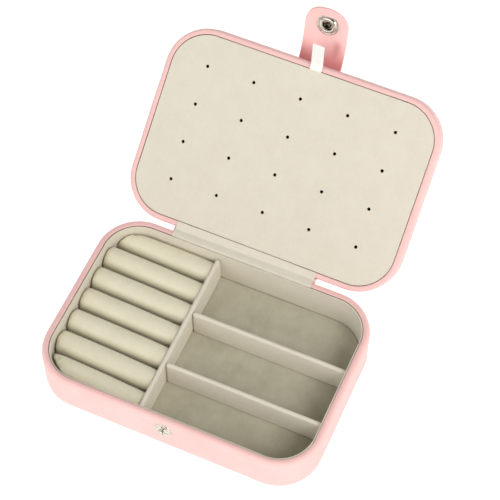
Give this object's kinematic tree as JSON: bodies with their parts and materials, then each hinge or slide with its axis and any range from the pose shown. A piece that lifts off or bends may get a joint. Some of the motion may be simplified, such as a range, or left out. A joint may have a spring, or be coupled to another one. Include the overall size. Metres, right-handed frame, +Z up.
{
  "type": "travel jewelry case",
  "caption": "Small hinged jewelry case with velvet compartments, ring rolls, an earring panel in the lid and a snap strap.",
  "frame": {"origin": "centre of the case's underside", "axes": "+X to the right along the width, -Y to the front with the snap stud, +Y to the hinge, +Z up"},
  "size_m": [0.165, 0.2312, 0.1246],
  "materials": {
    "leather": "pale pink fine-grained soft leather",
    "velvet": "short-pile beige velvet",
    "ribbon": "white satin ribbon",
    "nickel": "bright nickel plate",
    "board": "grey bookbinder's board",
    "foam": "soft white foam"
  },
  "bodies": {
    "base": {"base_floor": "board", "base_wall": "board", "base_skin": "leather", "base_bottom_cover": "leather", "wall_liner": "velvet", "floor_card": "velvet", "ring_block": "foam", "ring_card": "velvet", "ring_roll_1": "velvet", "ring_roll_2": "velvet", "ring_roll_3": "velvet", "ring_roll_4": "velvet", "ring_roll_5": "velvet", "ring_roll_6": "velvet", "ring_roll_7": "velvet", "long_divider": "velvet", "snap_stud": "nickel", "stud_backing": "nickel", "hinge_leather": "leather", "hinge_lining": "velvet"},
    "divider_rear": {"cross_divider_rear": "velvet"},
    "divider_front": {"cross_divider_front": "velvet"},
    "lid": {"lid_top": "board", "lid_wall": "board", "lid_skin": "leather", "lid_pad": "foam", "lid_liner": "velvet", "strap_root": "leather", "panel_tape": "velvet"},
    "panel": {"earring_panel": "velvet", "panel_board": "board"},
    "ribbon": {"pull_ribbon": "ribbon"},
    "strap": {"closure_strap": "leather", "strap_lining": "leather", "snap_socket": "nickel", "snap_cap": "nickel"}
  },
  "joints": [
    {"name": "lid_hinge", "type": "hinge", "parent": "base", "child": "lid", "pos_m": [0, 0.05775, 0.0288], "axis": [-1, 0, 0], "range_deg": [-141, 39], "deforming": ["hinge_leather", "hinge_lining"]},
    {"name": "strap_fold", "type": "hinge", "parent": "lid", "child": "strap", "pos_m": [0, 0.15699, 0.08819], "axis": [-1, 0, 0], "range_deg": [-56.19, 0], "deforming": ["pull_ribbon"]},
    {"name": "panel_open", "type": "hinge", "parent": "lid", "child": "panel", "pos_m": [0, 0.06202, 0.03123], "axis": [1, 0, 0], "range_deg": [0, 75], "deforming": ["panel_tape"]},
    {"name": "ribbon_fold", "type": "hinge", "parent": "panel", "child": "ribbon", "pos_m": [0.0023, 0.14394, 0.09834], "axis": [1, 0, 0], "range_deg": [-36, 128]},
    {"name": "divider_rear_lift", "type": "slide", "parent": "base", "child": "divider_rear", "axis": [0, 0, 1], "range_m": [0, 0.03]},
    {"name": "divider_front_lift", "type": "slide", "parent": "base", "child": "divider_front", "axis": [0, 0, 1], "range_m": [0, 0.03]}
  ],
  "couplings": [
    {"joint": "ribbon_fold", "follows": "lid_hinge", "ratio": -0.9}
  ]
}
